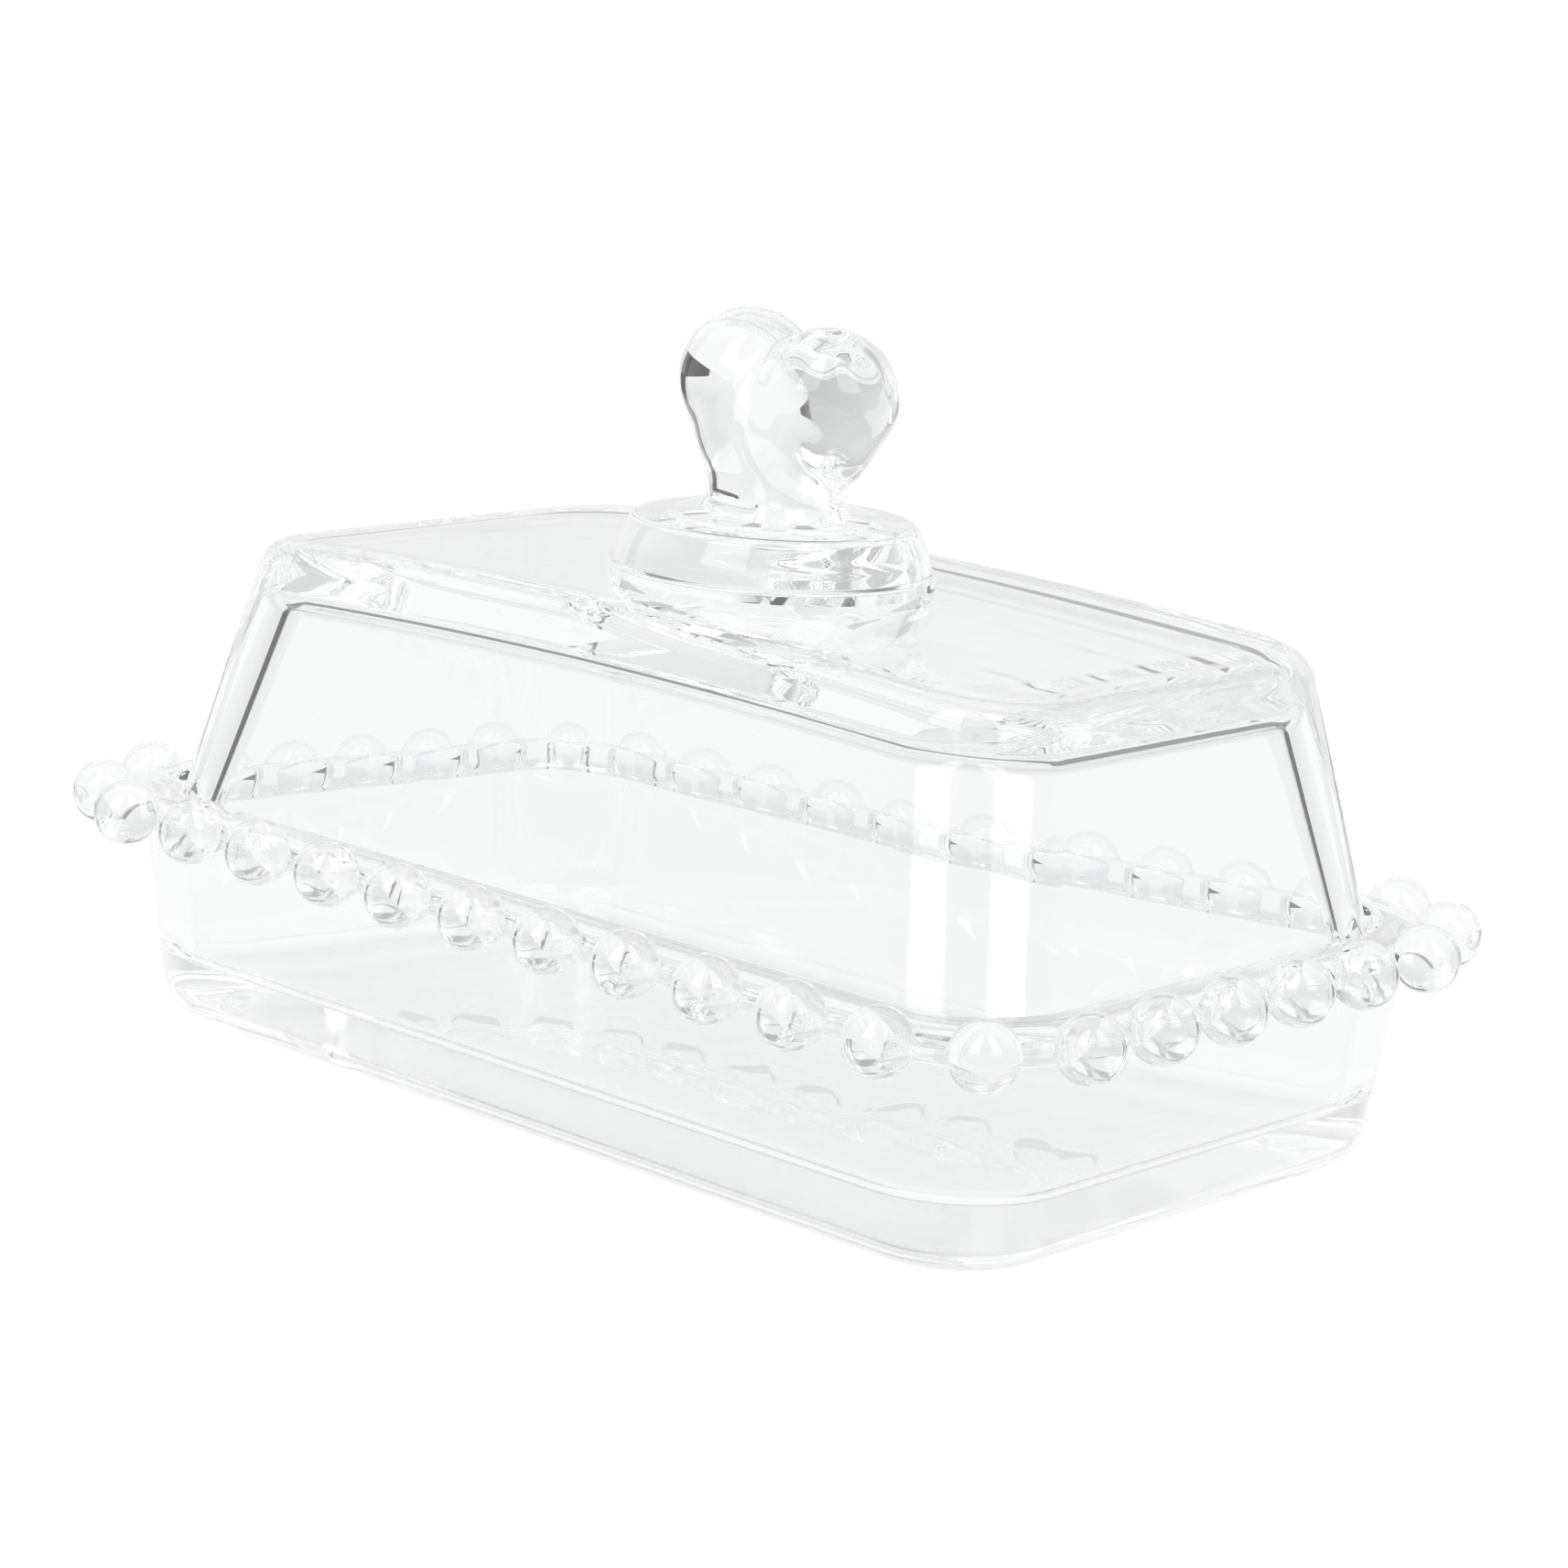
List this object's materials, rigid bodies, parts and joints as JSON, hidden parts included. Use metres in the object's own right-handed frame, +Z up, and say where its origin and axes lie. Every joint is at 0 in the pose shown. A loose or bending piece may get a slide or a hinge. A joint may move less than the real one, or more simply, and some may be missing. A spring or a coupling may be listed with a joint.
{
  "type": "butter dish",
  "caption": "Covered glass butter dish: deep rectangular tray with a beaded rim, and a tapered lid with a round pad and a heart knob that lifts off.",
  "frame": {"origin": "centre of the tray's underside, on the surface the dish stands on", "axes": "+X along the dish's long side, +Y across it, +Z up towards the knob"},
  "size_m": [0.1898, 0.1204, 0.1108],
  "materials": {
    "tray_glass": "clear polished pressed glass",
    "bead_glass": "clear polished pressed glass with a faint mould seam",
    "lid_glass": "clear polished pressed glass",
    "knob_glass": "clear fire-polished solid glass"
  },
  "bodies": {
    "dish": {"dish_tray": "tray_glass", "rim_bead_01": "bead_glass", "rim_bead_02": "bead_glass", "rim_bead_03": "bead_glass", "rim_bead_04": "bead_glass", "rim_bead_05": "bead_glass", "rim_bead_06": "bead_glass", "rim_bead_07": "bead_glass", "rim_bead_08": "bead_glass", "rim_bead_09": "bead_glass", "rim_bead_10": "bead_glass", "rim_bead_11": "bead_glass", "rim_bead_12": "bead_glass", "rim_bead_13": "bead_glass", "rim_bead_14": "bead_glass", "rim_bead_15": "bead_glass", "rim_bead_16": "bead_glass", "rim_bead_17": "bead_glass", "rim_bead_18": "bead_glass", "rim_bead_19": "bead_glass", "rim_bead_20": "bead_glass", "rim_bead_21": "bead_glass", "rim_bead_22": "bead_glass", "rim_bead_23": "bead_glass", "rim_bead_24": "bead_glass", "rim_bead_25": "bead_glass", "rim_bead_26": "bead_glass", "rim_bead_27": "bead_glass", "rim_bead_28": "bead_glass", "rim_bead_29": "bead_glass", "rim_bead_30": "bead_glass", "rim_bead_31": "bead_glass", "rim_bead_32": "bead_glass", "rim_bead_33": "bead_glass", "rim_bead_34": "bead_glass", "rim_bead_35": "bead_glass", "rim_bead_36": "bead_glass", "rim_bead_37": "bead_glass", "rim_bead_38": "bead_glass"},
    "lid": {"lid_cover": "lid_glass", "knob_pad": "knob_glass", "heart_knob": "knob_glass"}
  },
  "joints": [
    {"name": "lid_lift", "type": "slide", "parent": "dish", "child": "lid", "axis": [0, 0, 1], "range_m": [0, 0.1]}
  ]
}
